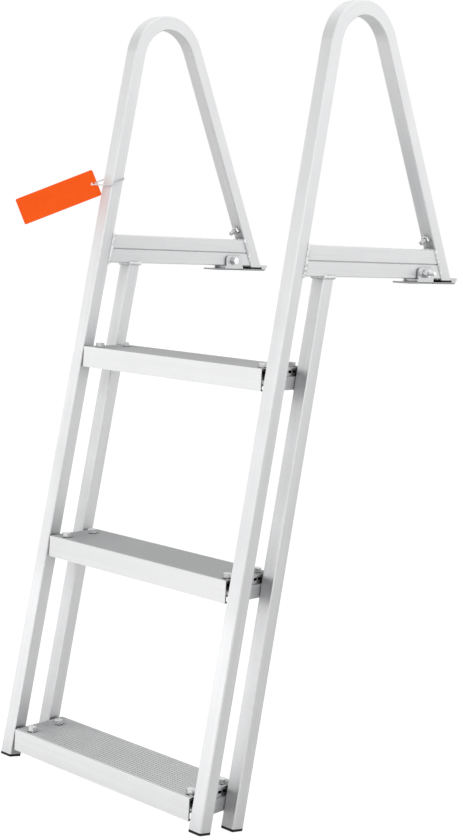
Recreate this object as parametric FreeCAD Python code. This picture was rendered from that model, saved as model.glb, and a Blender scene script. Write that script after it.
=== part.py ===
# Dock ladder with two bent square-tube side frames, three hollow ribbed steps and two deck brackets.
# Millimetres. X runs along the steps, Y from the water to the dock and Z up.
# The origin is the centre of the left bracket's underside, where it lies on the dock.
import FreeCAD, Part
import math
import os

V = FreeCAD.Vector
flat = 0.001

# Square tube
tube = 25.0
tube_wall = 2.0
tube_corner = 1.5

# Side frames
frame_pitch = 445.0
lean = 10.2
slant = 26.5
rail_rise = 354.0
rail_bend = 76.0
foot_drop = 45.5
leg_spacing = 76.5

# Plastic caps on the tube ends
foot_cap_height = 4.0
rail_cap_height = 3.5
cap_plug_length = 14.0
cap_plug_play = 0.15

# Steps
step_names = ["top", "middle", "bottom"]
top_step_drop = 171.5
step_pitch = 325.0
step_end_gap = 5.0
step_depth = 107.0
step_overhang = 3.0
step_height = 35.0
step_core = 14.0
step_wall = 2.0
step_cells = 5
apron_wall = 2.5
apron_lip = 5.0
rib_pitch = 6.0
rib_width = 2.4
rib_flank = 0.4
rib_height = 0.8

# Angles that carry the steps
angle_wall = 3.0
angle_flange = 34.0
angle_side_gap = 1.0

# Bolts of the frames
bolt = 8.0
bolt_hole_play = 0.5
bolt_head_width = 13.0
bolt_head_height = 5.3
nut_width = 13.0
nut_height = 6.5
nut_bore_play = 0.1
washer_width = 16.0
washer_height = 1.6
bolt_stub = 12.0
rail_bolt_rise = 25.0
rail_bolt_head_width = 17.0
rail_bolt_head_height = 1.8

# Deck brackets
plate = 3.0
plate_gap = 5.5
bracket_side_gap = 1.0
bracket_front = 122.0
bracket_rear = 0.0
bracket_bend = 3.0
ear_length = 45.0
ear_height = 27.5
ear_corner = 7.0
ear_bolt_inset = 20.0
ear_bolt_to_foot = 73.5
ear_bolt_rise = 9.5
lip_length = 9.5
lip_angle = 45.0
screw_hole = 7.0
screw_inset = 13.0
screw_spacing = 75.0

# Hang tag on the left rail
tag_length = 146.0
tag_width = 48.0
tag_thickness = 0.8
tag_corner = 3.0
tag_hole = 5.0
tag_hole_inset = 9.0
tag_turn = 42.0
tag_droop = 24.0
tag_reach = 38.0
tag_height = 111.5
loop_wire = 1.6
loop_play = 2.2
loop_ease = 1.18
loop_tilt = 20.0
loop_rise = 12.0
loop_tip_radius = 3.2

lean_rad = math.radians(lean)
slant_rad = math.radians(slant)
half_tube = tube / 2
inner_tube = tube - 2 * tube_wall
cap_top = plate + rail_cap_height
beam_base = plate + plate_gap
seam_height = beam_base + tube
sheet_half_width = half_tube + bracket_side_gap + plate
bottom_step_drop = top_step_drop + (len(step_names) - 1) * step_pitch
front_leg_length = (bottom_step_drop + foot_drop) / math.cos(lean_rad)


def along_leg(distance, offset=0.0):
    """Y and Z, from the front leg's crossing with the beam seam, along the leg and toward the dock."""
    y = distance * math.sin(lean_rad) + offset * math.cos(lean_rad)
    z = distance * math.cos(lean_rad) - offset * math.sin(lean_rad)
    return y, z


bend_y, bend_z = along_leg(rail_rise, rail_bend)


def along_slant(height, offset=0.0):
    """Y at a height above the seam on the slanted leg, offset at right angles toward the dock."""
    start_y = bend_y + rail_bend * math.cos(slant_rad)
    start_z = bend_z + rail_bend * math.sin(slant_rad)
    return start_y + (start_z - height) * math.tan(slant_rad) + offset / math.cos(slant_rad)


foot_y = along_slant(plate - seam_height)
plate_start = foot_y - bracket_front
plate_end = foot_y + half_tube / math.cos(slant_rad) + bracket_rear
leg_y = -(plate_start + plate_end) / 2
foot_y = foot_y + leg_y
plate_start = plate_start + leg_y
plate_end = plate_end + leg_y


def place(y, z):
    """A point of the side frame's own plane in the part's frame, at the left frame's middle."""
    return V(0, y + leg_y, z + seam_height)


def leg_centre(z):
    """Y of the front leg's centre line at a height of the part."""
    return leg_y + (z - seam_height) * math.tan(lean_rad)


def polygon(points):
    return Part.Face(Part.makePolygon(points + [points[0]]))


def slab(face, width):
    """A side-view face thickened along X, centred on the frame's plane."""
    solid = face.extrude(V(width, 0, 0))
    solid.translate(V(-width / 2, 0, 0))
    return solid


def box(x0, x1, y0, y1, z0, z1):
    return Part.makeBox(x1 - x0, y1 - y0, z1 - z0, V(x0, y0, z0))


def break_long_edges(solid):
    """Takes off the sharp edges that run along a tube, which lie in its side faces and outrun its ends."""
    longest_end = 1.5 * tube
    edges = []
    for edge in solid.Edges:
        if edge.BoundBox.XLength < flat and edge.Length > longest_end:
            edges.append(edge)
    return solid.makeChamfer(tube_corner, edges)


def rail_outline(half):
    """The bent rail's side view at a half width, from its foot to the level cut of the slanted leg."""
    end_height = cap_top - seam_height
    sides = []
    for offset in (-half, half):
        radius = rail_bend - offset
        mid_turn = (math.pi - slant_rad - lean_rad) / 2 + lean_rad
        bottom = place(*along_leg(-front_leg_length, offset))
        bend_start = place(*along_leg(rail_rise, offset))
        bend_mid = place(bend_y - radius * math.cos(mid_turn), bend_z + radius * math.sin(mid_turn))
        bend_end = place(bend_y + radius * math.cos(slant_rad), bend_z + radius * math.sin(slant_rad))
        end = place(along_slant(end_height, -offset), end_height)
        leg_edge = Part.LineSegment(bottom, bend_start).toShape()
        bend_edge = Part.Arc(bend_start, bend_mid, bend_end).toShape()
        slant_edge = Part.LineSegment(bend_end, end).toShape()
        sides.append((leg_edge, bend_edge, slant_edge, bottom, end))
    outer, inner = sides
    top_cut = Part.LineSegment(outer[4], inner[4]).toShape()
    foot_cut = Part.LineSegment(inner[3], outer[3]).toShape()
    edges = [outer[0], outer[1], outer[2], top_cut, inner[2], inner[1], inner[0], foot_cut]
    return Part.Face(Part.Wire(Part.__sortEdges__(edges)))


def rail():
    outside = break_long_edges(slab(rail_outline(half_tube), tube))
    inside = slab(rail_outline(half_tube - tube_wall), inner_tube)
    return outside.cut(inside).cut(rail_bolt_hole())


def straight_tube(outline, inner_outline):
    outside = break_long_edges(slab(polygon(outline), tube))
    return outside.cut(slab(polygon(inner_outline), inner_tube))


def beam_outline(bottom, top):
    """A level beam from the front leg's rear face to the slanted leg's front face."""
    points = []
    for z in (bottom, top):
        points.append(place(leg_face_y(z), z))
    for z in (top, bottom):
        points.append(place(along_slant(z, -half_tube), z))
    return points


def leg_face_y(z):
    """Y of the front leg's rear face at a height above the seam."""
    return z * math.tan(lean_rad) + half_tube / math.cos(lean_rad)


def beam(bottom):
    top = bottom + tube
    return straight_tube(beam_outline(bottom, top), beam_outline(bottom + tube_wall, top - tube_wall))


def rear_leg_outline(half):
    """The short leg's side view, from the lower beam down to a foot cut square in line with the front foot."""
    spread = half / math.cos(lean_rad)
    top_y = leg_spacing - tube * math.tan(lean_rad)
    across = leg_spacing * math.cos(lean_rad)
    return [
        place(top_y - spread, -tube),
        place(top_y + spread, -tube),
        place(*along_leg(-front_leg_length, across + half)),
        place(*along_leg(-front_leg_length, across - half)),
    ]


def rear_leg():
    return straight_tube(rear_leg_outline(half_tube), rear_leg_outline(half_tube - tube_wall))


def foot_cap(offset):
    """A cap on a leg's square end, with a plug inside the tube."""
    cap = box(-half_tube, half_tube, -half_tube, half_tube, -foot_cap_height, 0)
    upright = [edge for edge in cap.Edges if edge.BoundBox.ZLength > foot_cap_height / 2]
    cap = cap.makeChamfer(tube_corner, upright)
    plug_half = inner_tube / 2 - cap_plug_play
    plug = box(-plug_half, plug_half, -plug_half, plug_half, 0, cap_plug_length)
    cap = cap.fuse(plug)
    cap.rotate(V(0, 0, 0), V(1, 0, 0), -lean)
    cap.translate(place(*along_leg(-front_leg_length, offset)))
    return cap.removeSplitter()


def slant_band(half, low, high):
    points = [place(along_slant(z, -half), z) for z in (low, high)]
    return points + [place(along_slant(z, half), z) for z in (high, low)]


def rail_cap():
    """The cap of the slanted leg, which stands on the bracket's plate."""
    low = plate - seam_height
    high = cap_top - seam_height
    cap = slab(polygon(slant_band(half_tube, low, high)), tube)
    plug_half = inner_tube / 2 - cap_plug_play
    plug = slab(polygon(slant_band(plug_half, high, high + cap_plug_length)), 2 * plug_half)
    return cap.fuse(plug).removeSplitter()


def hexagon(width, low, high):
    """A hex prism on Z, as wide across its flats as a wrench."""
    points = []
    for index in range(6):
        turn = math.radians(60 * index)
        points.append(V(math.cos(turn), math.sin(turn), 0) * (width / math.sqrt(3)) + V(0, 0, low))
    return polygon(points).extrude(V(0, 0, high - low))


def disc(width, low, high):
    return Part.makeCylinder(width / 2, high - low, V(0, 0, low))


def hex_bolt(grip):
    """A hex bolt along Z: its washer up to zero, its head below that and its end past the nut."""
    head = hexagon(bolt_head_width, -washer_height - bolt_head_height, -washer_height)
    washer = disc(washer_width, -washer_height, 0)
    shank = disc(bolt, 0, grip + washer_height + nut_height + bolt_stub)
    return head.fuse([washer, shank]).removeSplitter()


def flat_head_bolt(grip):
    """A bolt along Z with a broad, low head below zero and its end past the nut."""
    head = disc(rail_bolt_head_width, -rail_bolt_head_height, 0)
    shank = disc(bolt, 0, grip + washer_height + nut_height + bolt_stub)
    return head.fuse(shank)


def hex_nut(grip):
    """The washer and nut on the far side of a grip."""
    seat = grip + washer_height
    washer = disc(washer_width, grip, seat)
    nut = hexagon(nut_width, seat, seat + nut_height)
    bore = disc(bolt + 2 * nut_bore_play, grip, seat + nut_height)
    return washer.fuse(nut).cut(bore)


bracket_bolt_y = foot_y - ear_bolt_to_foot
bracket_bolt_z = beam_base + ear_bolt_rise
ear_start = bracket_bolt_y - ear_bolt_inset


def across_bracket(shape, side):
    """Turns a bolt from Z to X, with its head toward the other frame, and sets it in the ears."""
    shape.translate(V(0, 0, -sheet_half_width))
    shape.rotate(V(0, 0, 0), V(0, 1, 0), 90 * side)
    shape.translate(V(0, bracket_bolt_y, bracket_bolt_z))
    return shape


def across_rail(shape):
    """Turns a bolt from Z to the slanted leg's cross direction, with its head toward the dock."""
    height = tube + rail_bolt_rise
    shape.translate(V(0, 0, -half_tube))
    shape.rotate(V(0, 0, 0), V(1, 0, 0), 90 + slant)
    shape.translate(place(along_slant(height), height))
    return shape


def rail_bolt_hole():
    return across_rail(Part.makeCylinder((bolt + bolt_hole_play) / 2, 2 * tube, V(0, 0, -half_tube)))


def bracket_bolt_hole():
    radius = (bolt + bolt_hole_play) / 2
    return Part.makeCylinder(radius, 4 * tube, V(-2 * tube, bracket_bolt_y, bracket_bolt_z), V(1, 0, 0))


def lip_outline():
    """The plate's turned-up rear end in side view, with its bend."""
    turn = math.radians(lip_angle)
    outer = bracket_bend + plate
    centre = V(0, plate_end, outer)

    def at(radius, angle):
        return centre + V(0, radius * math.sin(angle), -radius * math.cos(angle))

    run = V(0, math.cos(turn), math.sin(turn)) * lip_length
    low_arc = Part.Arc(at(outer, 0), at(outer, turn / 2), at(outer, turn)).toShape()
    low_line = Part.LineSegment(at(outer, turn), at(outer, turn) + run).toShape()
    tip = Part.LineSegment(at(outer, turn) + run, at(bracket_bend, turn) + run).toShape()
    high_line = Part.LineSegment(at(bracket_bend, turn) + run, at(bracket_bend, turn)).toShape()
    high_arc = Part.Arc(at(bracket_bend, turn), at(bracket_bend, turn / 2), at(bracket_bend, 0)).toShape()
    root = Part.LineSegment(at(bracket_bend, 0), at(outer, 0)).toShape()
    return Part.Face(Part.Wire([low_arc, low_line, tip, high_line, high_arc, root]))


def ear_section():
    """The folded stretch of the bracket: a U of sheet with rounded folds, along its ears."""
    width = sheet_half_width
    outside = box(-width, width, ear_start, ear_start + ear_length, 0, ear_height)
    folds = [edge for edge in outside.Edges if edge.BoundBox.YLength > ear_length / 2 and edge.BoundBox.ZMax < plate]
    outside = outside.makeFillet(bracket_bend, folds)
    inside = box(plate - width, width - plate, ear_start, ear_start + ear_length, plate, ear_height)
    section = outside.cut(inside)
    corners = []
    for edge in section.Edges:
        if edge.BoundBox.XLength > plate / 2 and edge.BoundBox.ZMin > ear_height - flat:
            corners.append(edge)
    return section.makeFillet(ear_corner, corners)


def bracket():
    width = sheet_half_width
    front = box(-width, width, plate_start, ear_start, 0, plate)
    rear = box(-width, width, ear_start + ear_length, plate_end, 0, plate)
    solid = front.fuse([rear, ear_section(), slab(lip_outline(), 2 * width)]).removeSplitter()
    for y in (plate_start + screw_inset, plate_start + screw_inset + screw_spacing):
        solid = solid.cut(Part.makeCylinder(screw_hole / 2, 2 * plate, V(0, y, -plate / 2)))
    return solid.cut(bracket_bolt_hole())


def step_front(top):
    """Y of a step's front face, ahead of the leg's front face at tread level."""
    return leg_centre(top) - half_tube / math.cos(lean_rad) - step_overhang


def step_outline(front, top):
    """The step's cross-section: ribbed tread, hollow core and lipped aprons front and rear."""
    bottom = top - step_height
    rear = front + step_depth
    under = top - step_core
    points = [V(0, front, top)]
    rib_count = int((step_depth - 2 * apron_wall) // rib_pitch)
    first_rib = front + (step_depth - (rib_count - 1) * rib_pitch - rib_width) / 2
    for index in range(rib_count):
        y = first_rib + index * rib_pitch
        points.append(V(0, y, top))
        points.append(V(0, y + rib_flank, top + rib_height))
        points.append(V(0, y + rib_width - rib_flank, top + rib_height))
        points.append(V(0, y + rib_width, top))
    points.append(V(0, rear, top))
    points.append(V(0, rear, bottom))
    points.append(V(0, rear - apron_lip, bottom))
    points.append(V(0, rear - apron_lip, bottom + apron_wall))
    points.append(V(0, rear - apron_wall, bottom + apron_wall))
    points.append(V(0, rear - apron_wall, under))
    points.append(V(0, front + apron_wall, under))
    points.append(V(0, front + apron_wall, bottom + apron_wall))
    points.append(V(0, front + apron_lip, bottom + apron_wall))
    points.append(V(0, front + apron_lip, bottom))
    points.append(V(0, front, bottom))
    return points


def step(top):
    front = step_front(top)
    length = frame_pitch - tube - 2 * step_end_gap
    solid = polygon(step_outline(front, top)).extrude(V(length, 0, 0))
    cell_depth = (step_depth - 2 * apron_wall - (step_cells - 1) * step_wall) / step_cells
    cells = []
    for index in range(step_cells):
        y = front + apron_wall + index * (cell_depth + step_wall)
        cells.append(box(0, length, y, y + cell_depth, top - step_core + step_wall, top - step_wall))
    solid = solid.cut(Part.makeCompound(cells))
    solid.translate(V(half_tube + step_end_gap, 0, 0))
    return solid


def step_angle(top, side):
    """The angle under a step's end: a flange under the core and one against the legs' inner faces."""
    front = step_front(top) + apron_lip + angle_side_gap
    rear = step_front(top) + step_depth - apron_lip - angle_side_gap
    under = top - step_core
    low = top - step_height
    upright = box(half_tube, half_tube + angle_wall, front, rear, low, under)
    flange = box(half_tube, half_tube + angle_flange, front, rear, under - angle_wall, under)
    return on_frame(upright.fuse(flange).removeSplitter(), side)


tag_turn_rad = math.radians(tag_turn)
tag_across = V(math.cos(tag_turn_rad), math.sin(tag_turn_rad), 0)


def loop_centre():
    """The loop's middle in the left front leg, above the tag's hole because the loop rises round the leg."""
    z = seam_height + tag_height + tag_reach * math.sin(math.radians(loop_rise))
    return V(0, leg_centre(z), z)


def tag_knot():
    """Where the loop passes through the tag, beside the left front leg."""
    rise = math.radians(loop_rise)
    return loop_centre() - (tag_across * math.cos(rise) + V(0, 0, math.sin(rise))) * tag_reach


def tag():
    """A thin card with a hole near one end, turned aside and drooping from the leg."""
    card = box(-tag_length + tag_hole_inset, tag_hole_inset, -tag_thickness / 2, tag_thickness / 2, 0, tag_width)
    corners = [edge for edge in card.Edges if edge.BoundBox.YLength > tag_thickness / 2]
    card = card.makeFillet(tag_corner, corners)
    card.translate(V(0, 0, -tag_width / 2))
    hole = Part.makeCylinder(tag_hole / 2, 4 * tag_thickness, V(0, -2 * tag_thickness, 0), V(0, 1, 0))
    card = card.cut(hole)
    card.rotate(V(0, 0, 0), V(0, 1, 0), -tag_droop)
    card.rotate(V(0, 0, 0), V(0, 0, 1), tag_turn)
    card.translate(tag_knot())
    return card


def teardrop(grow):
    """The loop's plan grown outward: an arc round the leg and one at the tag, joined by their tangents."""
    aside = (abs(tag_across.x), abs(tag_across.y))
    leg_reach = half_tube * sum(aside) - tube_corner * min(aside)
    radius = leg_reach * loop_ease + loop_wire
    centre_x = leg_reach + loop_play + loop_wire / 2 - radius
    tip_x = loop_tip_radius - tag_reach - loop_wire / 2
    spread = math.acos((radius - loop_tip_radius) / (centre_x - tip_x))
    turns = ((centre_x, radius + grow, math.pi - spread, spread - math.pi),
             (tip_x, loop_tip_radius + grow, spread - math.pi, -math.pi - spread))
    arcs = []
    for x, size, start, end in turns:
        angles = (start, (start + end) / 2, end)
        arcs.append([V(x + size * math.cos(angle), size * math.sin(angle), 0) for angle in angles])
    far, tip = arcs
    edges = [Part.Arc(*far).toShape()]
    edges.append(Part.LineSegment(far[2], tip[0]).toShape())
    edges.append(Part.Arc(*tip).toShape())
    edges.append(Part.LineSegment(tip[2], far[0]).toShape())
    return Part.Face(Part.Wire(edges))


def tag_loop():
    """The closed loop of the tag, round the leg and through the tag's hole."""
    band = teardrop(loop_wire / 2).cut(teardrop(-loop_wire / 2))
    solid = band.extrude(V(0, 0, loop_wire))
    solid.translate(V(0, 0, -loop_wire / 2))
    solid.rotate(V(0, 0, 0), V(1, 0, 0), loop_tilt)
    solid.rotate(V(0, 0, 0), V(0, 1, 0), -loop_rise)
    solid.rotate(V(0, 0, 0), V(0, 0, 1), tag_turn)
    solid.translate(loop_centre())
    return solid


def write(name, shape):
    shape.exportStep("parts/" + name + ".step")
    print(name, "valid" if shape.isValid() else "broken", len(shape.Solids), "solids", round(shape.Volume), "mm3")


def on_frame(shape, side):
    """A left-frame shape, or its twin on the right frame."""
    if side == "left":
        return shape
    return shape.mirror(V(frame_pitch / 2, 0, 0), V(1, 0, 0))


os.makedirs("parts", exist_ok=True)
across = leg_spacing * math.cos(lean_rad)
bracket_grip = 2 * sheet_half_width

frame_parts = {
    "rail": rail(),
    "upper_beam": beam(0.0),
    "lower_beam": beam(-tube).cut(bracket_bolt_hole()),
    "rear_leg": rear_leg(),
    "front_foot_cap": foot_cap(0.0),
    "rear_foot_cap": foot_cap(across),
    "rail_cap": rail_cap(),
    "dock_bracket": bracket(),
    "bracket_bolt": across_bracket(hex_bolt(bracket_grip), -1),
    "bracket_nut": across_bracket(hex_nut(bracket_grip), -1),
    "rail_bolt": across_rail(flat_head_bolt(tube)),
    "rail_nut": across_rail(hex_nut(tube)),
}
for side in ("left", "right"):
    for name, shape in frame_parts.items():
        write(side + "_" + name, on_frame(shape, side))

for index, name in enumerate(step_names):
    top = seam_height - top_step_drop - index * step_pitch
    write(name + "_step", step(top))
    for side in ("left", "right"):
        write(name + "_" + side + "_angle", step_angle(top, side))

write("hang_tag", tag())
write("tag_loop", tag_loop())
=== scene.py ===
import math
import random

import bmesh
import bpy
from mathutils import Matrix, Vector


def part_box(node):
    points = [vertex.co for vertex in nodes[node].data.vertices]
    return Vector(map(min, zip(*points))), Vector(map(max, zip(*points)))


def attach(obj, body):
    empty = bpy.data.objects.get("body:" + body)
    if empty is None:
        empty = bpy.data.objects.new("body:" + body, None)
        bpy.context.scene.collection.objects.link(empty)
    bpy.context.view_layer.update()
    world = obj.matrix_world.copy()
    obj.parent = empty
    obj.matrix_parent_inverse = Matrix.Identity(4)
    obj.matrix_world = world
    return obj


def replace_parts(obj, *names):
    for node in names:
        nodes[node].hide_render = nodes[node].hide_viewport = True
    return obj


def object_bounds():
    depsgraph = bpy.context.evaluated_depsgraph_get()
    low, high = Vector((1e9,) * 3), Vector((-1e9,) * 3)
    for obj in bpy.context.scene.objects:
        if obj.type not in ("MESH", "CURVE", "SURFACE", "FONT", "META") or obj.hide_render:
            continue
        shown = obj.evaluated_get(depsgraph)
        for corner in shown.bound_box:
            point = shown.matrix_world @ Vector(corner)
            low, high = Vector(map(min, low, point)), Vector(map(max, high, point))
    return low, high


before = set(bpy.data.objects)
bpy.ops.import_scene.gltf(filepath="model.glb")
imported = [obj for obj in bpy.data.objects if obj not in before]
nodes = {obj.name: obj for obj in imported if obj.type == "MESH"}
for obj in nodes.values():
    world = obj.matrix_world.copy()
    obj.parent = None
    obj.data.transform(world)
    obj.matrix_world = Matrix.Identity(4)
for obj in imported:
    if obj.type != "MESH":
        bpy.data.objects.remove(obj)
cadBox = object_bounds()
random.seed(11)
print("frame loaded,", len(nodes), "nodes")

# Shared sizes of the ladder, in metres and degrees. The boxes give what the frame already knows.
railLow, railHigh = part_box("left_rail")
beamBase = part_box("left_lower_beam")[0].z
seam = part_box("left_upper_beam")[0].z
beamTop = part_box("left_upper_beam")[1].z
ladder = {
    "tube": railHigh.x - railLow.x,
    "frames": [sum(corner.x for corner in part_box(side + "_rail")) / 2 for side in ("left", "right")],
    "lean": 10.2,            # front and rear legs, from upright
    "slant": 26.5,           # slanted legs, from upright
    "rearLegStep": 0.0765,   # from the front leg to the rear leg
    "railRise": 0.354,       # up the front leg, from the seam to the bend
    "bendRadius": 0.076,
}
half = ladder["tube"] / 2
lean = math.radians(ladder["lean"])
slant = math.radians(ladder["slant"])
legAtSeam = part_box("left_upper_beam")[0].y - half / math.cos(lean)
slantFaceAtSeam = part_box("left_upper_beam")[1].y
bendY = legAtSeam + ladder["railRise"] * math.sin(lean) + ladder["bendRadius"] * math.cos(lean)
bendZ = seam + ladder["railRise"] * math.cos(lean) - ladder["bendRadius"] * math.sin(lean)


def legMiddle(z):
    return legAtSeam + math.tan(lean) * (z - seam)


def slantFace(z):
    return slantFaceAtSeam - math.tan(slant) * (z - seam)


# Camera, set to the photograph's view. Its place is measured from the left front leg at the beam seam.
camera = {
    "azimuth": 42.155,
    "elevation": 2.508,
    "roll": 2.849,
    "place": (1.9581, -1.8150, 0.0360),
    "lens": 64.69,
    "sensor": 36.0,
    "shiftY": -0.1429,
}


def makeCamera(c):
    turn, rise, roll = (math.radians(c[key]) for key in ("azimuth", "elevation", "roll"))
    back = Vector((math.sin(turn) * math.cos(rise), -math.cos(turn) * math.cos(rise), math.sin(rise)))
    level = Vector((math.cos(turn), math.sin(turn), 0))
    upright = back.cross(level)
    right = level * math.cos(roll) + upright * math.sin(roll)
    up = upright * math.cos(roll) - level * math.sin(roll)
    data = bpy.data.cameras.new("photoCamera")
    data.lens = c["lens"]
    data.sensor_width = c["sensor"]
    data.shift_y = c["shiftY"]
    data.clip_end = 100
    obj = bpy.data.objects.new("photoCamera", data)
    place = Vector(c["place"]) + Vector((0, legAtSeam, seam))
    obj.matrix_world = Matrix.Translation(place) @ Matrix((right, up, back)).transposed().to_4x4()
    bpy.context.scene.collection.objects.link(obj)
    bpy.context.scene.camera = obj


makeCamera(camera)
bpy.context.scene.view_settings.view_transform = "Standard"
print("camera placed")


# Node helpers.
def put(tree, kind, inputs=None, **settings):
    node = tree.nodes.new("ShaderNode" + kind)
    for key, value in settings.items():
        setattr(node, key, value)
    for key, value in (inputs or {}).items():
        if isinstance(value, bpy.types.NodeSocket):
            tree.links.new(value, node.inputs[key])
        else:
            node.inputs[key].default_value = value
    return node


def math1(tree, operation, a, b=0.0, clamp=False):
    return put(tree, "Math", {0: a, 1: b}, operation=operation, use_clamp=clamp).outputs[0]


def remap(tree, value, fromLow, fromHigh, toLow, toHigh):
    values = {"Value": value, "From Min": fromLow, "From Max": fromHigh, "To Min": toLow, "To Max": toHigh}
    return put(tree, "MapRange", values).outputs[0]


def mixColour(tree, amount, first, second):
    node = put(tree, "Mix", data_type="RGBA")
    for socket, value in ((node.inputs[0], amount), (node.inputs[6], first), (node.inputs[7], second)):
        if isinstance(value, bpy.types.NodeSocket):
            tree.links.new(value, socket)
        else:
            socket.default_value = value if isinstance(value, float) else (*value, 1.0)
    return node.outputs[2]


def split(tree, vector):
    return put(tree, "SeparateXYZ", {0: vector}).outputs


def facing(tree):
    return split(tree, put(tree, "NewGeometry").outputs["Normal"])


def dot(tree, first, second):
    return put(tree, "VectorMath", {0: first, 1: second}, operation="DOT_PRODUCT").outputs["Value"]


def newGroup(name, inputs, outputs):
    tree = bpy.data.node_groups.new(name, "ShaderNodeTree")
    for label, kind, value in inputs:
        socket = tree.interface.new_socket(label, in_out="INPUT", socket_type="NodeSocket" + kind)
        if value is not None:
            socket.default_value = value
    for label in outputs:
        kind = "NodeSocketVector" if label == "Vector" else "NodeSocketFloat"
        tree.interface.new_socket(label, in_out="OUTPUT", socket_type=kind)
    return tree, tree.nodes.new("NodeGroupInput").outputs, tree.nodes.new("NodeGroupOutput").inputs


def useGroup(tree, group, inputs):
    node = tree.nodes.new("ShaderNodeGroup")
    node.node_tree = group
    for key, value in inputs.items():
        if isinstance(value, bpy.types.NodeSocket):
            tree.links.new(value, node.inputs[key])
        else:
            node.inputs[key].default_value = value
    return node.outputs


# Tube coordinates: X across, Y outward, Z along the tube, also round the handrail bend.
def makeTubeRun():
    inputs = [("Vector", "Vector", None), ("Front", "Float", 0.0), ("Back", "Float", 0.0)]
    tree, given, out = newGroup("tubeRun", inputs, ["Vector"])
    place = split(tree, given["Vector"])
    y = math1(tree, "SUBTRACT", place["Y"], bendY)
    z = math1(tree, "SUBTRACT", place["Z"], bendZ)
    angle = math1(tree, "ARCTAN2", math1(tree, "MULTIPLY", y, -1.0), z)
    angle = math1(tree, "MAXIMUM", math1(tree, "MINIMUM", angle, given["Front"]), given["Back"])
    cosine = math1(tree, "COSINE", angle)
    sine = math1(tree, "SINE", angle)
    outward = math1(tree, "SUBTRACT", math1(tree, "MULTIPLY", z, cosine), math1(tree, "MULTIPLY", y, sine))
    side = math1(tree, "ADD", math1(tree, "MULTIPLY", y, cosine), math1(tree, "MULTIPLY", z, sine))
    along = math1(tree, "SUBTRACT", math1(tree, "MULTIPLY", angle, ladder["bendRadius"]), side)
    joined = put(tree, "CombineXYZ", {"X": place["X"], "Y": outward, "Z": along})
    tree.links.new(joined.outputs[0], out["Vector"])
    return tree


# Fine and broad streaks along Z, as brushing and drawing leave them.
def makeStreaks():
    inputs = [("Vector", "Vector", None), ("Across", "Float", 900.0), ("Along", "Float", 9.0)]
    tree, given, out = newGroup("drawnStreaks", inputs, ["Fine", "Broad"])
    scale = put(tree, "CombineXYZ", {"X": given["Across"], "Y": given["Across"], "Z": given["Along"]})
    stretched = put(tree, "VectorMath", {0: given["Vector"], 1: scale.outputs[0]}, operation="MULTIPLY")
    fine = put(tree, "TexNoise", {"Vector": stretched.outputs[0], "Scale": 1.0, "Detail": 3.0, "Roughness": 0.65})
    wide = put(tree, "VectorMath", {0: stretched.outputs[0], 1: (0.19, 0.19, 0.4)}, operation="MULTIPLY")
    broad = put(tree, "TexNoise", {"Vector": wide.outputs[0], "Scale": 1.0, "Detail": 2.0, "Roughness": 0.5})
    tree.links.new(fine.outputs[0], out["Fine"])
    tree.links.new(broad.outputs[0], out["Broad"])
    return tree


# A mask of sharp edges, broken up so that the wear is uneven; it marks both edge wear and a painted highlight.
def makeEdgeWearAndHighlight():
    inputs = [("Vector", "Vector", None), ("Width", "Float", 0.0012), ("Breakup", "Float", 160.0)]
    tree, given, out = newGroup("edgeWearAndHighlight", inputs, ["Edge"])
    rounded = put(tree, "Bevel", {"Radius": given["Width"]}, samples=6).outputs[0]
    flat = put(tree, "NewGeometry").outputs["Normal"]
    edge = remap(tree, dot(tree, rounded, flat), 0.995, 0.86, 0.0, 1.0)
    spots = put(tree, "TexNoise", {"Vector": given["Vector"], "Scale": given["Breakup"], "Detail": 3.0}).outputs[0]
    wearAndHighlight = math1(tree, "MULTIPLY", edge, remap(tree, spots, 0.35, 0.65, 0.25, 1.0), clamp=True)
    tree.links.new(wearAndHighlight, out["Edge"])
    return tree


# Soft smudges from handling, and the small speckle of a cast, rolled or moulded skin.
def makeSmudges():
    inputs = [("Vector", "Vector", None), ("Size", "Float", 14.0), ("Speckle", "Float", 1800.0)]
    tree, given, out = newGroup("handling", inputs, ["Smudge", "Speckle"])
    place = given["Vector"]
    soft = put(tree, "TexNoise", {"Vector": place, "Scale": given["Size"], "Detail": 4.0, "Roughness": 0.6})
    fine = put(tree, "TexNoise", {"Vector": place, "Scale": given["Speckle"], "Detail": 2.0})
    tree.links.new(remap(tree, soft.outputs[0], 0.35, 0.68, 0.0, 1.0), out["Smudge"])
    tree.links.new(fine.outputs[0], out["Speckle"])
    return tree


# Masks for painted shade: of corners, of faces close to other faces, and of faces turned down and to the water.
def makeShade():
    inputs = [("Reach", "Float", 0.004)]
    tree, given, out = newGroup("shade", inputs, ["Crevice", "Near", "Under"])
    clear = put(tree, "AmbientOcclusion", {"Distance": given["Reach"]}, samples=6).outputs["AO"]
    tree.links.new(remap(tree, clear, 0.30, 0.85, 1.0, 0.0), out["Crevice"])
    tree.links.new(remap(tree, clear, 0.0, 1.0, 1.0, 0.0), out["Near"])
    normal = put(tree, "NewGeometry").outputs["Normal"]
    under = dot(tree, normal, (0.0, -0.6, -0.8))
    tree.links.new(remap(tree, under, 0.35, 0.75, 0.0, 1.0), out["Under"])
    return tree


tubeRun = makeTubeRun()
drawnStreaks = makeStreaks()
edgeWearAndHighlight = makeEdgeWearAndHighlight()
handling = makeSmudges()
shade = makeShade()


def newMaterial(name, constants):
    material = bpy.data.materials.new(name)
    material.use_nodes = True
    tree = material.node_tree
    shader = tree.nodes["Principled BSDF"]
    for key, value in constants.items():
        shader.inputs[key].default_value = value
    place = put(tree, "TexCoord").outputs["Object"]
    return material, tree, shader, place


def feed(tree, shader, colour, rough, height, strength, distance):
    tree.links.new(colour, shader.inputs["Base Color"])
    tree.links.new(rough, shader.inputs["Roughness"])
    bump = put(tree, "Bump", {"Height": height, "Strength": strength, "Distance": distance})
    tree.links.new(bump.outputs[0], shader.inputs["Normal"])
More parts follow.
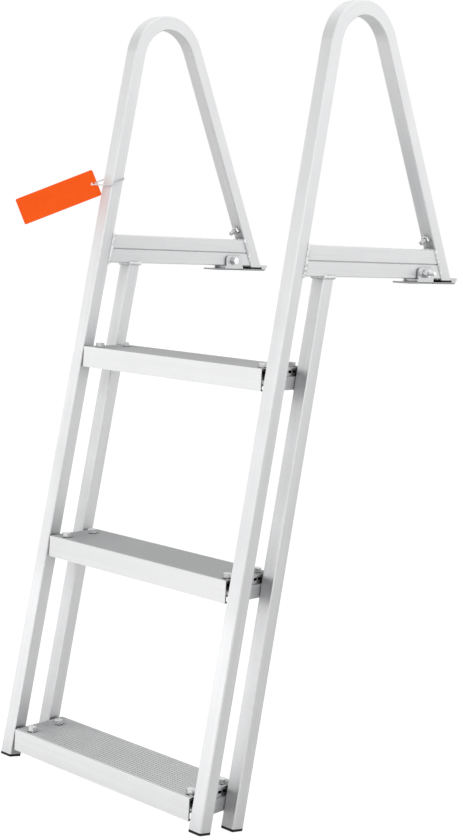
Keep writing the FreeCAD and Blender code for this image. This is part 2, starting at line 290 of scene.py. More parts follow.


# The streaks, worn edges with their painted highlight, and smudges of a drawn aluminium surface.
def surface(tree, grain, place, finish):
    streaks = useGroup(tree, drawnStreaks, {"Vector": grain, "Across": finish["across"], "Along": finish["along"]})
    wear = {"Vector": place, "Width": finish["wear"], "Breakup": finish["breakup"]}
    marks = useGroup(tree, handling, {"Vector": place, "Size": finish["smudge"]})
    return streaks, useGroup(tree, edgeWearAndHighlight, wear)["Edge"], marks


# The dark tone that every painted shade in the materials mixes in.
shadeTone = (0.03, 0.03, 0.032)


# Satin drawn aluminium of the tubes. Front and back are the angles where the grain stops turning.
tubeFinish = {
    "dark": (0.700, 0.704, 0.712),
    "light": (0.790, 0.793, 0.798),
    "edge": (0.98, 0.98, 0.985),
    "rough": (0.34, 0.44),
    "across": 820.0,
    "along": 7.0,
    "bump": 0.16,
    "wear": 0.0018,
    "breakup": 130.0,
    "smudge": 11.0,
    "near": 0.07,         # how close another face paints shade on a tube, and how much
    "dull": 0.46,
}
# The rear legs' water side gets a band of painted shade, standing in for the front legs that it mirrors: how
# close, and how much.
rearFinish = {**tubeFinish, "dull": 0.22, "shadeBehind": (0.16, 0.42)}


def satinTube(name, front, back, finish=tubeFinish):
    material, tree, shader, place = newMaterial(name, {"Metallic": 1.0})
    angles = {"Vector": place, "Front": math.radians(front), "Back": math.radians(back)}
    run = useGroup(tree, tubeRun, angles)["Vector"]
    streaks, wearAndHighlight, marks = surface(tree, run, place, finish)
    fine = math1(tree, "MULTIPLY", streaks["Fine"], 0.6)
    broad = math1(tree, "MULTIPLY", streaks["Broad"], 0.4)
    tone = remap(tree, math1(tree, "ADD", fine, broad), 0.3, 0.7, 0.0, 1.0)
    colour = mixColour(tree, tone, finish["dark"], finish["light"])
    # Edge wear and a painted highlight along the edges.
    colour = mixColour(tree, wearAndHighlight, colour, finish["edge"])
    # Painted shade: the tube goes darker where other faces are close.
    close = useGroup(tree, shade, {"Reach": finish["near"]})["Near"]
    colour = mixColour(tree, math1(tree, "MULTIPLY", close, finish["dull"]), colour, shadeTone)
    # Painted shade on the rear legs' water side, where the front legs are close.
    if "shadeBehind" in finish:
        reach, amount = finish["shadeBehind"]
        shadeBehind = remap(tree, facing(tree)["Y"], -0.9, -0.5, amount, 0.0)
        shadeBehind = math1(tree, "MULTIPLY", useGroup(tree, shade, {"Reach": reach})["Near"], shadeBehind, clamp=True)
        colour = mixColour(tree, shadeBehind, colour, shadeTone)
    rough = remap(tree, streaks["Broad"], 0.3, 0.7, *finish["rough"])
    rough = math1(tree, "ADD", rough, math1(tree, "MULTIPLY", marks["Smudge"], 0.05))
    feed(tree, shader, colour, rough, streaks["Fine"], finish["bump"], 0.0002)
    return material


# Ribbed tread aluminium: cross nicks on the ribs, drawn streaks along X. The aprons stay bright; the tops and the
# ribs' sides are painted darker, as shade.
treadFinish = {
    "dark": (0.845, 0.848, 0.853),
    "light": (0.88, 0.883, 0.888),
    "edge": (0.95, 0.95, 0.955),
    # the tops' painted shade, darker than the aprons
    "top": (0.455, 0.46, 0.465),
    "grooveShade": (0.20, 0.205, 0.215),
    "rough": (0.36, 0.46),
    "across": 700.0,
    "along": 6.0,
    "bump": 0.5,
    "wear": 0.0009,
    "breakup": 90.0,
    "smudge": 16.0,
    "near": 0.012,        # how close the angles and bolts paint shade on the tread, and how much
    "dirt": 0.96,
    "nickPitch": 0.0088,
    "nickEdge": (0.35, 0.8),
    "nick": 0.19,         # how dark a nick's painted shade is, and its share of the bump
    "nickDepth": 0.38,
    "lip": (0.0014, 0.0034, 1.0),      # the painted highlight on the front edge: where it ends, is gone, and how bright
    "highlightTone": (0.98, 0.98, 0.985),
    "flank": 0.7,         # how far the ribs' sides go to the tops' painted shade
    "between": 0.1,       # how far the floor between the ribs goes to the grooves' painted shade
    "ribTop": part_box("top_step")[1].z,
    "ribHeight": 0.0008,
    "stepPitch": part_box("top_step")[1].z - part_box("middle_step")[1].z,
    "frontFromLeg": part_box("top_step")[0].y - legMiddle(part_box("top_step")[1].z),
}


def ribbedTread(name, finish=treadFinish):
    material, tree, shader, place = newMaterial(name, {"Metallic": 1.0})
    turned = put(tree, "Mapping", {"Vector": place, "Rotation": (0, math.radians(90), 0)}).outputs[0]
    streaks, wearAndHighlight, marks = surface(tree, turned, place, finish)
    colour = mixColour(tree, remap(tree, streaks["Broad"], 0.3, 0.7, 0.0, 1.0), finish["dark"], finish["light"])
    upward = remap(tree, facing(tree)["Z"], 0.35, 0.7, 0.0, 1.0)
    # Edge wear and a painted highlight along the edges.
    colour = mixColour(tree, wearAndHighlight, colour, finish["edge"])
    spot = split(tree, place)
    leaning = math1(tree, "MULTIPLY", math1(tree, "SUBTRACT", spot["Z"], seam), math.tan(lean))
    front = math1(tree, "ADD", leaning, legAtSeam + finish["frontFromLeg"])
    fromFront = math1(tree, "SUBTRACT", spot["Y"], front)
    ends, gone, amount = finish["lip"]
    below = math1(tree, "SUBTRACT", finish["ribTop"] + finish["ribHeight"] / 4, spot["Z"])
    below = math1(tree, "FLOORED_MODULO", below, finish["stepPitch"])
    flank = remap(tree, below, 1.4 * finish["ribHeight"], 1.6 * finish["ribHeight"], finish["flank"], 0.0)
    flank = math1(tree, "MULTIPLY", flank, remap(tree, fromFront, ends, gone, 0.0, 1.0))
    ribbed = math1(tree, "MAXIMUM", upward, flank)
    # Painted shade: the tops and the ribs' sides go darker than the aprons.
    colour = mixColour(tree, ribbed, colour, finish["top"])
    # Painted shade on the floor between the ribs and in the nicks.
    between = remap(tree, below, 0.4 * finish["ribHeight"], 1.1 * finish["ribHeight"], 0.0, finish["between"])
    colour = mixColour(tree, math1(tree, "MULTIPLY", between, upward), colour, finish["grooveShade"])
    across = math1(tree, "MULTIPLY", spot["X"], 2 * math.pi / finish["nickPitch"])
    nick = remap(tree, math1(tree, "SINE", across), *finish["nickEdge"], 0.0, 1.0)
    nick = math1(tree, "MULTIPLY", nick, ribbed)
    colour = mixColour(tree, math1(tree, "MULTIPLY", nick, finish["nick"]), colour, finish["grooveShade"])
    # Painted highlight along the tread's front edge.
    lip = math1(tree, "MULTIPLY", remap(tree, fromFront, ends, gone, amount, 0.0), upward)
    colour = mixColour(tree, lip, colour, finish["highlightTone"])
    # Painted shade where the angles, bolts and cell walls are close.
    close = useGroup(tree, shade, {"Reach": finish["near"]})["Near"]
    colour = mixColour(tree, remap(tree, close, 0.35, 0.8, 0.0, finish["dirt"]), colour, shadeTone)
    rough = remap(tree, marks["Smudge"], 0.0, 1.0, *finish["rough"])
    nick = math1(tree, "MULTIPLY", nick, finish["nickDepth"])
    height = math1(tree, "SUBTRACT", math1(tree, "MULTIPLY", streaks["Fine"], 0.15), nick)
    feed(tree, shader, colour, rough, height, finish["bump"], 0.0004)
    return material


# Plainer metals and plastics share one recipe: two tones, edge wear with a painted highlight, smudges and a fine
# skin.
# The painted shade is how far the corners, and then the faces turned down, go dark.
finishes = {
    "bracketSteel": {
        "constants": {"Metallic": 1.0},
        "tones": ((0.58, 0.59, 0.60), (0.69, 0.695, 0.70)), "edge": (0.95, 0.95, 0.95),
        "rough": (0.22, 0.34), "speckle": 900.0, "bump": 0.05, "wear": 0.0010, "paintedShade": (0.45, 0.15),
        "lowEdgeShade": (0.0022, 0.0036, 0.6),      # the sheet's cut edge, painted dark as shade: its heights, and how dark
    },
    "boltSteel": {
        "constants": {"Metallic": 1.0},
        "tones": ((0.80, 0.805, 0.81), (0.92, 0.92, 0.925)), "edge": (1.0, 1.0, 1.0),
        "rough": (0.12, 0.24), "speckle": 2200.0, "bump": 0.06, "wear": 0.0006, "paintedShade": (0.62, 0.30),
    },
    "treadBolt": {
        "constants": {"Metallic": 1.0},
        "tones": ((0.66, 0.665, 0.67), (0.82, 0.822, 0.825)), "edge": (1.0, 1.0, 1.0),
        "rough": (0.16, 0.26), "speckle": 2200.0, "bump": 0.06, "wear": 0.0006, "paintedShade": (0.96, 0.0),
    },
    "weldBead": {
        "constants": {"Metallic": 1.0},
        "tones": ((0.74, 0.745, 0.75), (0.95, 0.952, 0.955)), "edge": (0.99, 0.99, 0.99),
        "rough": (0.28, 0.42), "speckle": 1500.0, "bump": 0.25, "wear": 0.0008, "paintedShade": (0.32, 0.0),
    },
    "blackPlastic": {
        "constants": {"Metallic": 0.0, "Specular IOR Level": 0.25},
        "tones": ((0.005, 0.005, 0.005), (0.010, 0.010, 0.011)), "edge": (0.03, 0.03, 0.03),
        "rough": (0.42, 0.62), "speckle": 2600.0, "bump": 0.25, "wear": 0.0009, "paintedShade": (0.0, 0.0),
    },
    "orangeCard": {
        "constants": {
            # The card glows a little: painted light that makes it brighter than the lamps alone.
            "Specular IOR Level": 0.12, "Emission Color": (1.0, 0.09, 0.005, 1), "Emission Strength": 0.14,
        },
        "tones": ((0.95, 0.100, 0.006), (0.98, 0.120, 0.008)), "edge": (1.0, 0.30, 0.10),
        "rough": (0.42, 0.55), "speckle": 1600.0, "bump": 0.06, "wear": 0.0004, "paintedShade": (0.0, 0.0),
    },
    "whiteNylon": {
        "constants": {"Metallic": 0.0, "Subsurface Weight": 0.2, "Subsurface Scale": 0.001},
        "tones": ((0.78, 0.78, 0.78), (0.90, 0.90, 0.90)), "edge": (0.95, 0.95, 0.95),
        "rough": (0.34, 0.46), "speckle": 2400.0, "bump": 0.08, "wear": 0.0003, "paintedShade": (0.25, 0.0),
    },
}


def skinned(name):
    finish = finishes[name]
    material, tree, shader, place = newMaterial(name, finish["constants"])
    marks = useGroup(tree, handling, {"Vector": place, "Size": 30.0, "Speckle": finish["speckle"]})
    wearAndHighlight = useGroup(tree, edgeWearAndHighlight, {"Vector": place, "Width": finish["wear"], "Breakup": 220.0})["Edge"]
    colour = mixColour(tree, marks["Smudge"], *finish["tones"])
    # Edge wear and a painted highlight along the edges.
    colour = mixColour(tree, math1(tree, "MULTIPLY", wearAndHighlight, 0.8), colour, finish["edge"])
    # Painted shade in the corners and on the faces turned down.
    if finish["paintedShade"][0]:
        dark = useGroup(tree, shade, {"Reach": 0.0045})
        for mask, amount in zip((dark["Crevice"], dark["Under"]), finish["paintedShade"]):
            colour = mixColour(tree, math1(tree, "MULTIPLY", mask, amount), colour, shadeTone)
    # Painted shade on the sheet's low, upright cut edge.
    if "lowEdgeShade" in finish:
        full, clear, amount = finish["lowEdgeShade"]
        upright = remap(tree, math1(tree, "ABSOLUTE", facing(tree)["Z"]), 0.6, 0.95, 1.0, 0.0)
        low = remap(tree, split(tree, place)["Z"], full, clear, amount, 0.0)
        cut = math1(tree, "MULTIPLY", low, upright)
        colour = mixColour(tree, cut, colour, shadeTone)
    rough = remap(tree, marks["Smudge"], 0.0, 1.0, *finish["rough"])
    feed(tree, shader, colour, rough, marks["Speckle"], finish["bump"], 0.0003)
    return material


# The grain turns from the front leg (79.8 degrees past the top) round to the slanted leg.
materials = {name: skinned(name) for name in finishes}
materials["rail"] = satinTube("satinRail", 90 - ladder["lean"], ladder["slant"] - 90)
materials["leg"] = satinTube("satinLeg", 90 - ladder["lean"], 90 - ladder["lean"], rearFinish)
materials["beam"] = satinTube("satinBeam", 0, 0)
materials["tread"] = ribbedTread("ribbedTread")
materials["angle"] = satinTube("satinAngle", 0, 0)

nodeFinish = {
    "rail": "rail", "rear_leg": "leg", "beam": "beam", "step": "tread", "angle": "angle",
    "dock_bracket": "bracketSteel", "bolt": "boltSteel", "nut": "boltSteel", "cap": "blackPlastic",
    "hang_tag": "orangeCard", "tag_loop": "whiteNylon",
}
for name, obj in nodes.items():
    ending = next(key for key in nodeFinish if name.endswith(key))
    obj.material_slots[0].material = materials[nodeFinish[ending]]
print("materials on the frame")


# Mesh helpers. A part is a bmesh; a piece is the finished object.
def finishPiece(name, bm, finish, sharp=35):
    bmesh.ops.remove_doubles(bm, verts=bm.verts, dist=1e-6)
    bmesh.ops.recalc_face_normals(bm, faces=bm.faces)
    mesh = bpy.data.meshes.new(name)
    bm.to_mesh(mesh)
    bm.free()
    mesh.polygons.foreach_set("use_smooth", [True] * len(mesh.polygons))
    mesh.set_sharp_from_angle(angle=math.radians(sharp))
    mesh.materials.append(materials[finish])
    obj = bpy.data.objects.new(name, mesh)
    bpy.context.scene.collection.objects.link(obj)
    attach(obj, "root")
    return obj


def addPart(bm, part, matrix):
    scratch = bpy.data.meshes.new("scratch")
    part.to_mesh(scratch)
    scratch.transform(matrix)
    bm.from_mesh(scratch)
    bpy.data.meshes.remove(scratch)


def spun(profile, steps=32):
    part = bmesh.new()
    verts = [part.verts.new((radius, 0, height)) for radius, height in profile]
    edges = [part.edges.new(pair) for pair in zip(verts, verts[1:])]
    spinning = {"cent": (0, 0, 0), "axis": (0, 0, 1), "angle": 2 * math.pi, "steps": steps}
    bmesh.ops.spin(part, geom=verts + edges, use_merge=True, **spinning)
    bmesh.ops.remove_doubles(part, verts=part.verts, dist=1e-7)
    return part


def sweep(bm, radius, points, sizes, closed=False, sides=8):
    ring = bmesh.ops.create_circle(bm, segments=sides, radius=radius)["verts"]
    edges = list({edge for vert in ring for edge in vert.link_edges})
    first = edges
    count = len(points)
    turn = None
    before = Matrix.Identity(4)
    for i, point in enumerate(points):
        if closed:
            ahead = (points[(i + 1) % count] - points[i - 1]).normalized()
        else:
            ahead = (points[min(i + 1, count - 1)] - points[max(i - 1, 0)]).normalized()
        facing = turn @ Vector((0, 0, 1)) if turn else Vector((0, 0, 1))
        step = facing.rotation_difference(ahead)
        turn = step @ turn if turn else step
        after = Matrix.LocRotScale(point, turn, Vector((sizes[i], sizes[i], 1)))
        if i:
            grown = bmesh.ops.extrude_edge_only(bm, edges=edges)["geom"]
            ring = [part for part in grown if isinstance(part, bmesh.types.BMVert)]
            edges = [part for part in grown if isinstance(part, bmesh.types.BMEdge) and part.is_boundary]
        bmesh.ops.transform(bm, matrix=after @ before.inverted(), verts=ring)
        before = after
    if closed:
        bmesh.ops.bridge_loops(bm, edges=first + edges)
    else:
        bmesh.ops.contextual_create(bm, geom=first)
        bmesh.ops.contextual_create(bm, geom=edges)


# Weld beads: a row of overlapping ripples laid along each joint.
weld = {
    "beam": 0.0038,
    "rearLeg": 0.0038,
    "angle": 0.0021,
    "ripple": 0.0034,
    "dip": 0.74,          # between two ripples the bead has this share of its radius
    "swell": (0.94, 1.06),
    "end": 0.7,
    "wander": 0.0003,
    "inset": 0.0005,      # how far the bead's middle sits inside the faces that it joins
}


def bead(bm, radius, corners, closed=True):
    corners = [Vector(corner) for corner in corners]
    pairs = list(zip(corners, corners[1:] + corners[:1] if closed else corners[1:]))
    points = []
    sizes = []
    for start, end in pairs:
        count = max(2, round((end - start).length / (weld["ripple"] / 2)))
        for i in range(count):
            drift = Vector([random.uniform(-1, 1) * weld["wander"] for axis in range(3)])
            points.append(start.lerp(end, i / count) + drift)
            sizes.append((weld["dip"] if i % 2 else 1.0) * random.uniform(*weld["swell"]))
    if not closed:
        points.append(corners[-1])
        sizes.append(weld["end"])
        sizes[0] = weld["end"]
    sweep(bm, radius, points, sizes, closed)


def frameWelds(side, x):
    bm = bmesh.new()
    wide = half - weld["inset"]
    low = beamBase + weld["inset"]
    high = beamTop - weld["inset"]
    rearOfLeg = half / math.cos(lean)
    corners = ((-1, low), (1, low), (1, high), (-1, high))
    for joint in (lambda z: legMiddle(z) + rearOfLeg + weld["inset"], lambda z: slantFace(z) - weld["inset"]):
        bead(bm, weld["beam"], [(x + a * wide, joint(z), z) for a, z in corners])
    z = beamBase - weld["inset"]
    y = legMiddle(z) + ladder["rearLegStep"]
    corners = ((-1, -1), (1, -1), (1, 1), (-1, 1))
    bead(bm, weld["rearLeg"], [(x + a * wide, y + b * (rearOfLeg - weld["inset"]), z) for a, b in corners])
    return finishPiece(side + "FrameWelds", bm, "weldBead", sharp=60)


def angleWelds(step):
    bm = bmesh.new()
    for side, x in zip(("left", "right"), ladder["frames"]):
        lowest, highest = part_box(step + "_" + side + "_angle")
        inner = x + half if side == "left" else x - half
        z = lowest.z
        for back in (0, ladder["rearLegStep"]):
            middle = legMiddle(z) + back
            reach = (max(middle - half, lowest.y), min(middle + half, highest.y))
            bead(bm, weld["angle"], [(inner, y, z) for y in reach], closed=False)
        for y in (lowest.y, highest.y):
            bead(bm, weld["angle"], [(inner, y, lowest.z), (inner, y, highest.z)], closed=False)
    return finishPiece(step + "AngleWelds", bm, "weldBead", sharp=60)


for side, x in zip(("left", "right"), ladder["frames"]):
    frameWelds(side, x)
for step in ("top", "middle", "bottom"):
    angleWelds(step)
print("weld beads laid")


# Hex bolts and nuts. Each is made about Z, seated at the origin, then set in its place.
bolt = {
    "shank": 0.004,
    "across": 0.013,
    "head": 0.0053,
    "nut": 0.0065,
    "washer": (0.008, 0.0016),
    "washerEase": 0.0003,
    "lowHead": (0.0085, 0.0018),
    "stub": 0.012,            # how far the shank stands past its nut
    "pitch": 0.00125,
    "threadDepth": 0.0006,
    "tipEase": 0.0002,
    "nutTurn": 17.0,
    "chamferTilt": 30.0,
    "chamferStart": 0.96,     # share of the flats' half width where the chamfer starts
    "chamferCuts": 24,
    "railBoltRise": 0.025,    # from the upper beam's top
}


def hexBody(height, bothEnds):
    part = bmesh.new()
    bmesh.ops.create_circle(part, cap_ends=True, segments=6, radius=bolt["across"] / math.sqrt(3))
    grown = bmesh.ops.extrude_face_region(part, geom=part.faces[:])["geom"]
    raised = [piece for piece in grown if isinstance(piece, bmesh.types.BMVert)]
    bmesh.ops.translate(part, vec=(0, 0, height), verts=raised)
    tilt = math.radians(bolt["chamferTilt"])
    start = bolt["across"] / 2 * bolt["chamferStart"]
    for end in ((1, -1) if bothEnds else (1,)):
        for i in range(bolt["chamferCuts"]):
            angle = 2 * math.pi * i / bolt["chamferCuts"]
            way = Vector((math.cos(angle), math.sin(angle), 0))
            point = way * start + Vector((0, 0, height if end > 0 else 0))
            normal = way * math.sin(tilt) + Vector((0, 0, end * math.cos(tilt)))
            whole = part.verts[:] + part.edges[:] + part.faces[:]
            cut = bmesh.ops.bisect_plane(part, geom=whole, plane_co=point, plane_no=normal, clear_outer=True)
            rim = [edge for edge in cut["geom_cut"] if isinstance(edge, bmesh.types.BMEdge)]
            if rim:
                bmesh.ops.contextual_create(part, geom=rim)
    return part


def washer():
    radius, thick = bolt["washer"]
    ease = bolt["washerEase"]
    rim = [(radius - ease, 0), (radius, ease), (radius, thick - ease), (radius - ease, thick)]
    return spun([(0, 0)] + rim + [(0, thick)], 40)


def lowHead():
    radius, high = bolt["lowHead"]
    rim = [(radius, 0), (radius, 0.4 * high), (radius - 0.3 * high, 0.8 * high), (radius - 0.8 * high, high)]
    return spun([(0, 0)] + rim + [(0, high)], 40)


def threadedShank(length):
    outer = bolt["shank"]
    inner = outer - bolt["threadDepth"]
    turns = int(length / bolt["pitch"]) - 1
    profile = [(0, -length), (inner - bolt["tipEase"], -length)]
    for i in range(turns):
        low = -length + (i + 0.3) * bolt["pitch"]
        profile += [(inner, low), (outer, low + 0.4 * bolt["pitch"]), (outer, low + 0.5 * bolt["pitch"])]
    profile += [(inner, -length + (turns + 0.3) * bolt["pitch"]), (inner, 0), (0, 0)]
    return spun(profile, 28)


def seat(place, axis):
    turn = Vector((0, 0, 1)).rotation_difference(Vector(axis))
    return Matrix.Translation(place) @ turn.to_matrix().to_4x4()


def setBolt(bm, place, axis, grip, stub, hexHead=True):
    matrix = seat(place, axis)
    if hexHead:
        addPart(bm, washer(), matrix)
        addPart(bm, hexBody(bolt["head"], False), matrix @ Matrix.Translation((0, 0, bolt["washer"][1])))
    else:
        addPart(bm, lowHead(), matrix)
    addPart(bm, threadedShank(grip + bolt["washer"][1] + bolt["nut"] + stub), matrix)


def setNut(bm, place, axis):
    matrix = seat(place, axis) @ Matrix.Rotation(math.radians(bolt["nutTurn"]), 4, "Z")
    addPart(bm, washer(), matrix)
    addPart(bm, hexBody(bolt["nut"], True), matrix @ Matrix.Translation((0, 0, bolt["washer"][1])))


def toNode(name):
    return "".join("_" + letter.lower() if letter.isupper() else letter for letter in name)


def boltPair(boltName, nutName, headSeat, nutSeat, hexHead):
    axis = (headSeat - nutSeat).normalized()
    bm = bmesh.new()
    setBolt(bm, headSeat, axis, (headSeat - nutSeat).length, bolt["stub"], hexHead)
    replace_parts(finishPiece(boltName, bm, "boltSteel", sharp=25), toNode(boltName))
    bm = bmesh.new()
    setNut(bm, nutSeat, -axis)
    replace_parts(finishPiece(nutName, bm, "boltSteel", sharp=25), toNode(nutName))


for side, x in zip(("left", "right"), ladder["frames"]):
    inward = 1 if side == "left" else -1
    low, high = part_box(side + "_bracket_bolt")
    y, z = (low.y + high.y) / 2, (low.z + high.z) / 2
    faces = [corner.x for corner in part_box(side + "_dock_bracket")]
    headFace, nutFace = (faces[1], faces[0]) if side == "left" else (faces[0], faces[1])
    boltPair(side + "BracketBolt", side + "BracketNut", Vector((headFace, y, z)), Vector((nutFace, y, z)), True)

    rise = beamTop + bolt["railBoltRise"]
    normal = Vector((0, -math.cos(slant), -math.sin(slant)))
    middle = Vector((x, slantFace(rise) + half / math.cos(slant), rise))
    boltPair(side + "RailBolt", side + "RailNut", middle - normal * half, middle + normal * half, False)


# Step bolts, two at each end, down through the tread and its angle, with nuts below.
stepBolt = {
    "left": (0.0245, (0.000, 0.0590)),      # from the step's end, and back from the front leg's middle
    "right": (0.0135, (0.0015, 0.0710)),
    "stub": 0.004,
    "flange": 0.003,
}
for step in ("top", "middle", "bottom"):
    low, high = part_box(step + "_step")
    tread = high.z - treadFinish["ribHeight"]
    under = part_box(step + "_left_angle")[1].z - stepBolt["flange"]
    bm = bmesh.new()
    for side in ("left", "right"):
        fromEnd, backs = stepBolt[side]
        x = low.x + fromEnd if side == "left" else high.x - fromEnd
        for back in backs:
            y = legMiddle(tread) + back
            setBolt(bm, Vector((x, y, high.z)), (0, 0, 1), high.z - under, stepBolt["stub"])
            setNut(bm, Vector((x, y, under)), (0, 0, -1))
    finishPiece(step + "StepBolts", bm, "treadBolt", sharp=25)
print("bolts set")


# Ribs inside the treads' hollow cells, seen at their open ends: a web, a ceiling and a floor in each cell.
cell = {
    "count": 5,
    "apron": 0.0025,
    "wall": 0.002,
    "core": 0.014,
    "web": 0.0020,
    "ceiling": 0.0024,
    "floor": 0.0032,
    "bite": 0.0002,
    "inset": 0.0003,
}


def addBlock(bm, *spans):
    low, high = (Vector(corner) for corner in zip(*spans))
    bmesh.ops.create_cube(bm, size=1.0, matrix=Matrix.LocRotScale((low + high) / 2, None, high - low))


for step in ("top", "middle", "bottom"):
    low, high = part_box(step + "_step")
    tread = high.z - treadFinish["ribHeight"]
    bottom = tread - cell["core"] + cell["wall"] - cell["bite"]
    top = tread - cell["wall"] + cell["bite"]
    depth = (high.y - low.y - 2 * cell["apron"] - (cell["count"] - 1) * cell["wall"]) / cell["count"]
    ends = (low.x + cell["inset"], high.x - cell["inset"])
    bm = bmesh.new()
    for i in range(cell["count"]):
        front = low.y + cell["apron"] + i * (depth + cell["wall"]) - cell["bite"]
        back = front + depth + 2 * cell["bite"]
        middle = (front + back) / 2
        addBlock(bm, ends, (middle - cell["web"] / 2, middle + cell["web"] / 2), (bottom, top))
        addBlock(bm, ends, (front, back), (top - cell["ceiling"], top))
        addBlock(bm, ends, (front, back), (bottom, bottom + cell["floor"]))
    finishPiece(step + "StepWebs", bm, "tread")
print("treads ribbed inside")


# The tag's nylon loop: round the leg, drawn in to the tag's hole, with a small knot there.
tagLoop = {
    "wire": 0.0011,
    "band": 0.0016,
    "reach": 0.038,
    "turn": 42.0,
    "tilt": 20.0,
    "climb": 12.0,
    "rise": 0.1115,
    "play": 0.0018,
    "ease": 1.18,
    "corner": 0.0015,
    "tipRadius": 0.0032,
    "spacing": 0.0015,
    "knot": 0.0024,
    "lumps": [            # the knot's three lumps: place, and size
        (0, 0.0012, 0.0004, 1.0),
        (0.0022, -0.0010, -0.0004, 0.85),
        (0.0006, -0.0022, 0.0012, 0.6),
    ],
}


def loopPoints(c):
    aside = [abs(math.cos(math.radians(c["turn"]))), abs(math.sin(math.radians(c["turn"])))]
    legReach = half * sum(aside) - c["corner"] * min(aside)
    radius = legReach * c["ease"] + c["band"]
    middle = legReach + c["play"] + c["band"] / 2 - radius
    tip = c["tipRadius"] - c["reach"] - c["band"] / 2
    spread = math.acos((radius - c["tipRadius"]) / (middle - tip))
    points = []
    for x, size, start, end in ((middle, radius, math.pi - spread, spread - math.pi),
                                (tip, c["tipRadius"], spread - math.pi, -math.pi - spread)):
        count = round(abs(end - start) * size / c["spacing"])
        for i in range(count + 1):
            angle = start + (end - start) * i / count
            points.append(Vector((x + size * math.cos(angle), size * math.sin(angle), 0)))
    return points


climb = math.radians(tagLoop["climb"])
z = seam + tagLoop["rise"] + tagLoop["reach"] * math.sin(climb)
loopPlace = Matrix.Translation((0, legMiddle(z), z)) @ Matrix.Rotation(math.radians(tagLoop["turn"]), 4, "Z")
loopPlace = loopPlace @ Matrix.Rotation(-climb, 4, "Y") @ Matrix.Rotation(math.radians(tagLoop["tilt"]), 4, "X")
loopPath = [loopPlace @ point for point in loopPoints(tagLoop)]
bm = bmesh.new()
sweep(bm, tagLoop["wire"], loopPath, [1.0] * len(loopPath), closed=True, sides=10)
knotPlace = loopPlace @ Matrix.Translation((tagLoop["tipRadius"] * 2 - tagLoop["reach"], 0, 0))
for x, y, z, size in tagLoop["lumps"]:
    knot = bmesh.new()
    bmesh.ops.create_icosphere(knot, subdivisions=2, radius=tagLoop["knot"] * size)
    addPart(bm, knot, knotPlace @ Matrix.Translation((x, y, z)))
nylon = finishPiece("tagLoop", bm, "whiteNylon", sharp=70)
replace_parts(nylon, "tag_loop")
print("tag loop tied")


# Floor, world and lamps: a plain white studio.
# Its walls are lighter and darker in places, which only the metal shows.
studio = {
    "floorSize": 30.0,
    "floorGap": 0.0005,
    "floorTone": (0.80, 0.80, 0.80),
    "floorGlow": 1.12,
    "shadowShare": 0.12,
    "floorSeenInMetal": 0.04,
    "worldLight": 0.85,
    "worldSeenInMetal": 1.18,
    "walls": [
        # direction, degrees from there to where it fades out, how much lighter
        ((-0.69, -0.72, 0.00), 24.0, 0.90),
        ((-0.35, -0.70, 0.62), 52.0, -0.62),
        ((0.74, -0.62, 0.00), 22.0, 0.25),
        ((0.60, -0.65, 0.47), 35.0, -0.35),
        ((-0.70, 0.70, 0.00), 40.0, -0.40),
        ((0.58, 0.80, -0.04), 24.0, 0.16),
        ((0.90, 0.35, -0.10), 40.0, -0.15),
    ],
    "lamps": [
        # name, place, aim, width, height, power
        ("floorLamp", (0.1, -0.95, -0.5), (0.1, -0.95, -0.9), 1.2, 0.5, 1.7),
        ("farFloorLamp", (-0.7, -2.15, -0.4), (-0.7, -2.15, -0.9), 2.4, 1.2, 5.0),
        ("topLamp", (-1.2, -2.4, 3.2), (0.22, -0.25, -0.2), 2.6, 2.6, 4.0),
        ("cameraLamp", (2.6, -2.6, 1.0), (0.22, -0.25, -0.2), 1.2, 1.2, 2.5),
    ],
}


def seenDirectly(tree, inMetal=1.0):
    rays = put(tree, "LightPath").outputs
    seen = math1(tree, "ADD", rays["Is Camera Ray"], math1(tree, "MULTIPLY", rays["Is Glossy Ray"], inMetal))
    return math1(tree, "ADD", seen, rays["Is Transmission Ray"], clamp=True)


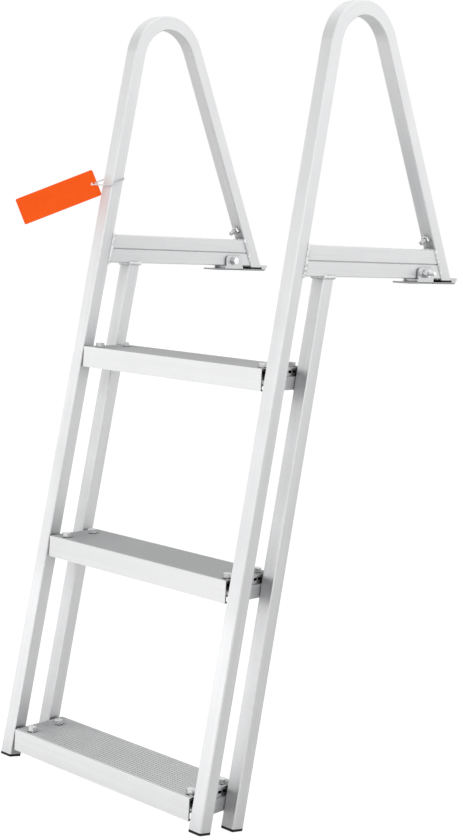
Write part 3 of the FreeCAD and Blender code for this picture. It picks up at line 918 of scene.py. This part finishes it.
def makeFloor(c):
    bm = bmesh.new()
    bmesh.ops.create_grid(bm, x_segments=4, y_segments=4, size=c["floorSize"] / 2)
    bmesh.ops.translate(bm, vec=(0, 0, cadBox[0][2] - c["floorGap"]), verts=bm.verts)
    mesh = bpy.data.meshes.new("studioFloor")
    bm.to_mesh(mesh)
    bm.free()
    floor = bpy.data.objects.new("studioFloor", mesh)
    bpy.context.scene.collection.objects.link(floor)
    material = bpy.data.materials.new("studioFloor")
    material.use_nodes = True
    tree = material.node_tree
    tree.nodes.clear()
    matt = put(tree, "BsdfDiffuse", {"Color": (*c["floorTone"], 1.0)})
    glow = put(tree, "Emission", {"Color": (1, 1, 1, 1), "Strength": c["floorGlow"]})
    share = math1(tree, "MULTIPLY", seenDirectly(tree, c["floorSeenInMetal"]), 1 - c["shadowShare"])
    mixed = put(tree, "MixShader", {0: share, 1: matt.outputs[0], 2: glow.outputs[0]})
    out = put(tree, "OutputMaterial")
    tree.links.new(mixed.outputs[0], out.inputs["Surface"])
    mesh.materials.append(material)


def makeWorld(c):
    world = bpy.data.worlds.new("studioWorld")
    bpy.context.scene.world = world
    world.use_nodes = True
    tree = world.node_tree
    tree.nodes.clear()
    way = put(tree, "TexCoord").outputs["Generated"]
    tone = c["worldSeenInMetal"]
    for axis, reach, change in c["walls"]:
        near = dot(tree, way, Vector(axis).normalized())
        lighter = remap(tree, near, math.cos(math.radians(reach)), 1.0, 0.0, change)
        tone = math1(tree, "ADD", tone, lighter)
    glossy = put(tree, "LightPath").outputs["Is Glossy Ray"]
    backdrop = remap(tree, glossy, 0.0, 1.0, 1.0, tone)
    lit = put(tree, "Background", {"Color": (1, 1, 1, 1), "Strength": c["worldLight"]})
    seen = put(tree, "Background", {"Color": (1, 1, 1, 1), "Strength": backdrop})
    mixed = put(tree, "MixShader", {0: seenDirectly(tree), 1: lit.outputs[0], 2: seen.outputs[0]})
    out = put(tree, "OutputWorld")
    tree.links.new(mixed.outputs[0], out.inputs["Surface"])


def makeLamps(c):
    for name, place, aim, width, height, power in c["lamps"]:
        data = bpy.data.lights.new(name, "AREA")
        data.shape = "RECTANGLE"
        data.size = width
        data.size_y = height
        data.energy = power
        lamp = bpy.data.objects.new(name, data)
        lamp.location = place
        lamp.rotation_euler = (Vector(aim) - Vector(place)).to_track_quat("-Z", "Y").to_euler()
        bpy.context.scene.collection.objects.link(lamp)


makeFloor(studio)
makeWorld(studio)
makeLamps(studio)
print("studio lit")
